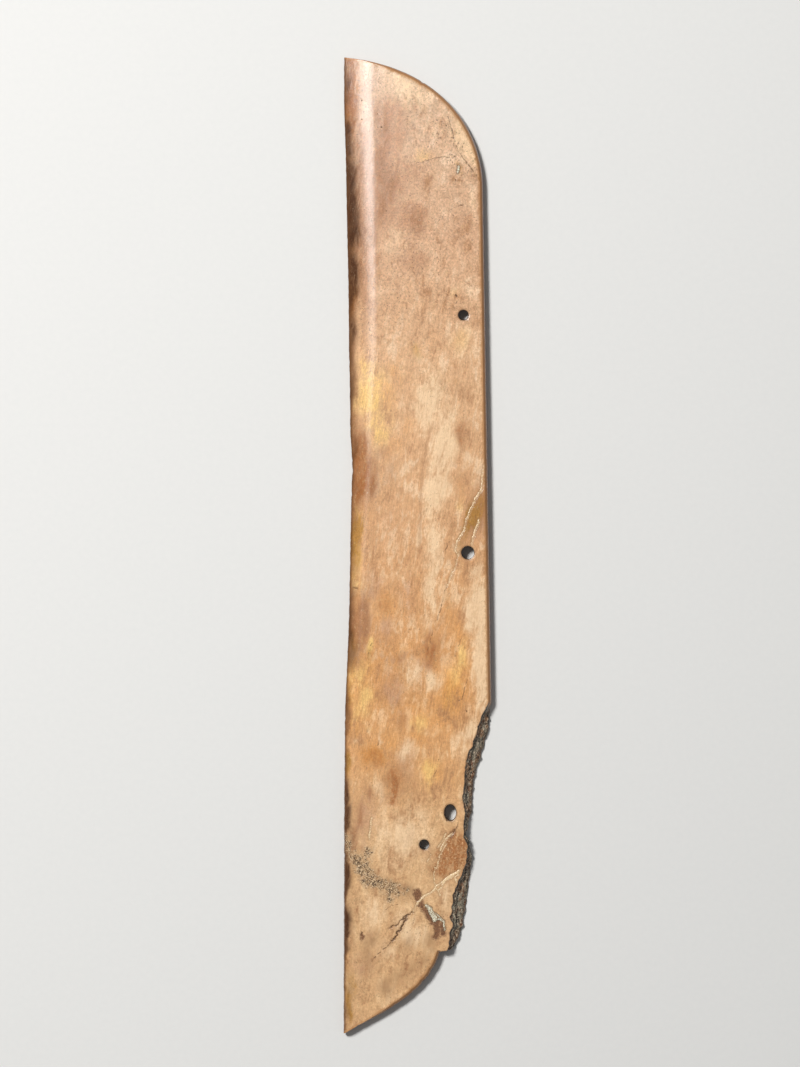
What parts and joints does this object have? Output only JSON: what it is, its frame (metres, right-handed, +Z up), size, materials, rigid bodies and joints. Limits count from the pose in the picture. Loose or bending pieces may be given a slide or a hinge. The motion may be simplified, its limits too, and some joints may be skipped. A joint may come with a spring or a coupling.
{
  "type": "jade tablet",
  "caption": "Long slim perforated jade blade with a ground edge, a rounded shoulder, drilled holes along its back and one broken corner.",
  "frame": {"origin": "centre of the blade's bounding box in plan, on the surface it lies on", "axes": "+Y along the blade towards its rounded upper end, +X from the cutting edge to the back, +Z up out of the worked top face"},
  "size_m": [0.076, 0.5, 0.0075],
  "materials": {
    "jade": "waxy polish"
  },
  "bodies": {
    "root": {"jade_blade": "jade"}
  },
  "joints": []
}
